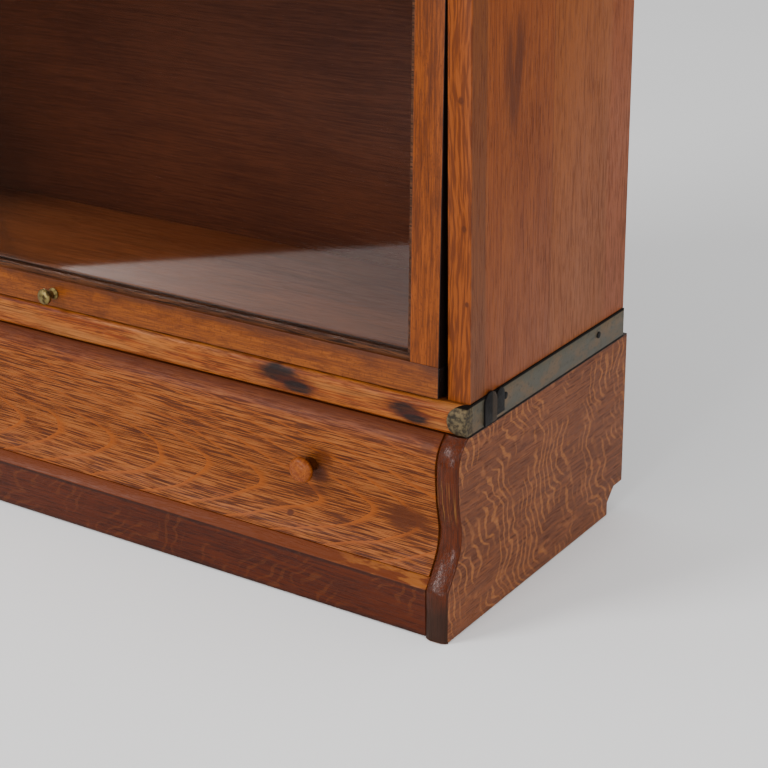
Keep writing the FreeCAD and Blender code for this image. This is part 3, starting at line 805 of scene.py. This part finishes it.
base_wood = base_oak()
nose_wood = nose_oak()
for side in ("left", "right"):
    base_board(side, base_wood, nose_wood)
drawer_grips(knob_oak(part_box("drawer_knobs")[0].y))
door_knobs(brass)
dress(["plinth_rail"], plinth_oak(), FACE_ARRIS)
dress(["base_back_panel", "top_back_rail"], case_back_wood)
dress(["base_top_frame", "drawer_runners", "drawer_side_left", "drawer_side_right",
       "drawer_back", "drawer_bottom"], raw_wood, 0)
dress(["drawer_front", "top_frieze"], drawer_wood, FACE_ARRIS)
dress(["top_board"], top_wood)
dress(["top_ends"], side_wood)
dress([f"{level}_front_rail" for level in LEVELS], rail_wood, RAIL_ARRIS)
dress(["steel_bands_left", "steel_bands_right"], steel, BAND_ARRIS)
dress(["band_clips", "band_screws"], iron, RAIL_ARRIS)
for section in SECTIONS:
    dress([f"{section}_side_left", f"{section}_side_right"], side_wood, BOARD_ARRIS)
    dress([f"{section}_top_board", f"{section}_bottom_board"], inside_wood)
    dress([f"{section}_back_panel"], back_wood)
    rail_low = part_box(f"{section}_door_bottom_rail")[0].z
    rail_material = door_rail_oak(f"{section}_oak_door", door_half, rail_low)
    dress([f"{section}_door_bottom_rail", f"{section}_door_top_rail"], rail_material, BOARD_ARRIS)
    dress([f"{section}_door_stiles"], stile_wood, BOARD_ARRIS)
    dress([f"{section}_door_beads"], bead_wood, 0)
    dress([f"{section}_door_glass"], glass, 0)
    dress([f"{section}_pivot_rollers"], iron, 0)


# ---------------------------------------------------------------- room

FLOOR_HALF = 12.0
# The black card: a place on its edge, how far that edge is shifted along itself, and its size.
CARD_PLACE = (-0.43, -0.93, 0.003)
CARD_SHIFT = 0.9
CARD_SIZE = 5
# The camera, from the front foot of the right base side, and its yaw, pitch and roll in degrees.
CAMERA_FROM_FOOT = (0.7037, -1.1246, 0.7741)
CAMERA_ANGLES = (34.014, 22.350, -0.830)
LENS_MM = 88.7
SENSOR_MM = 36.0
SKY_STRENGTH = 0.82

def make_floor():
    half = FLOOR_HALF
    mesh = bpy.data.meshes.new("floor")
    corners = [(-half, -half, 0), (half, -half, 0), (half, half, 0), (-half, half, 0)]
    mesh.from_pydata(corners, [], [(0, 1, 2, 3)])
    floor = bpy.data.objects.new("floor", mesh)
    bpy.context.collection.objects.link(floor)
    shader = Shader("floor_paper")
    speck = shader.noise(shader.x * 2, shader.y * 2, shader.z)
    colour = shader.mix(speck, FLOOR_GREY, FLOOR_PALE)
    floor.data.materials.append(shader.finish(colour, 0.9, speck, 0.0))


def make_flag():
    """A black card on the floor, front left, that only mirrors see: it keeps the glass clear."""
    edge = Vector((-0.58, 0.815, 0))
    away = Vector((-0.815, -0.58, 0))
    near_end = Vector(CARD_PLACE) + edge * CARD_SHIFT
    far_end = near_end - edge * CARD_SIZE
    mesh = bpy.data.meshes.new("flag")
    mesh.from_pydata([near_end, far_end, far_end + away * CARD_SIZE,
                      near_end + away * CARD_SIZE], [], [(0, 1, 2, 3)])
    flag = bpy.data.objects.new("flag", mesh)
    bpy.context.collection.objects.link(flag)
    shader = Shader("flag_card", Specular_IOR_Level=0.0)
    nap = shader.noise(shader.x * 40, shader.y * 40, 0.0)
    colour = shader.mix(nap, CARD_BLACK, CARD_DARK)
    flag.data.materials.append(shader.finish(colour, 1.0, nap, 0.0))
    flag.visible_camera = False
    flag.visible_diffuse = False
    flag.visible_transmission = False
    flag.visible_shadow = False


def make_light(name, place, target, size, power):
    data = bpy.data.lights.new(name, "AREA")
    data.shape = "SQUARE"
    data.size = size
    data.energy = power
    lamp = bpy.data.objects.new(name, data)
    lamp.location = place
    aim = Vector(target) - Vector(place)
    lamp.rotation_euler = aim.to_track_quat("-Z", "Y").to_euler()
    bpy.context.collection.objects.link(lamp)


def make_camera():
    """The camera looks at the lower right corner from the front, right and above."""
    yaw, pitch, roll = (math.radians(angle) for angle in CAMERA_ANGLES)
    forward = Vector((-math.sin(yaw) * math.cos(pitch), math.cos(yaw) * math.cos(pitch),
                      -math.sin(pitch)))
    level = Vector((math.cos(yaw), math.sin(yaw), 0))
    upright = level.cross(forward)
    right = level * math.cos(roll) + upright * math.sin(roll)
    up = upright * math.cos(roll) - level * math.sin(roll)
    corner = Vector((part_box("base_side_right")[1].x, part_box("base_side_right")[0].y, 0))
    data = bpy.data.cameras.new("camera")
    data.sensor_width = SENSOR_MM
    data.lens = LENS_MM
    camera = bpy.data.objects.new("camera", data)
    turn = Matrix((right, up, -forward)).transposed().to_4x4()
    camera.matrix_world = Matrix.Translation(corner + Vector(CAMERA_FROM_FOOT)) @ turn
    data.clip_start, data.clip_end = 0.05, 60
    bpy.context.collection.objects.link(camera)
    bpy.context.scene.camera = camera


def make_world():
    world = bpy.data.worlds.new("studio")
    bpy.context.scene.world = world
    world.use_nodes = True
    background = world.node_tree.nodes["Background"]
    background.inputs["Color"].default_value = (1, 1, 1, 1)
    background.inputs["Strength"].default_value = SKY_STRENGTH


make_floor()
make_flag()
make_world()
make_camera()
make_light("key", (-2.2, -3.4, 3.0), (0.2, 0, 0.5), 1.6, 150)
make_light("fill", (3.0, -1.2, 1.6), (0.4, 0, 0.3), 1.4, 40)
make_light("front", (0.3, -3.4, 1.0), (0.1, 0, 0.4), 1.2, 55)
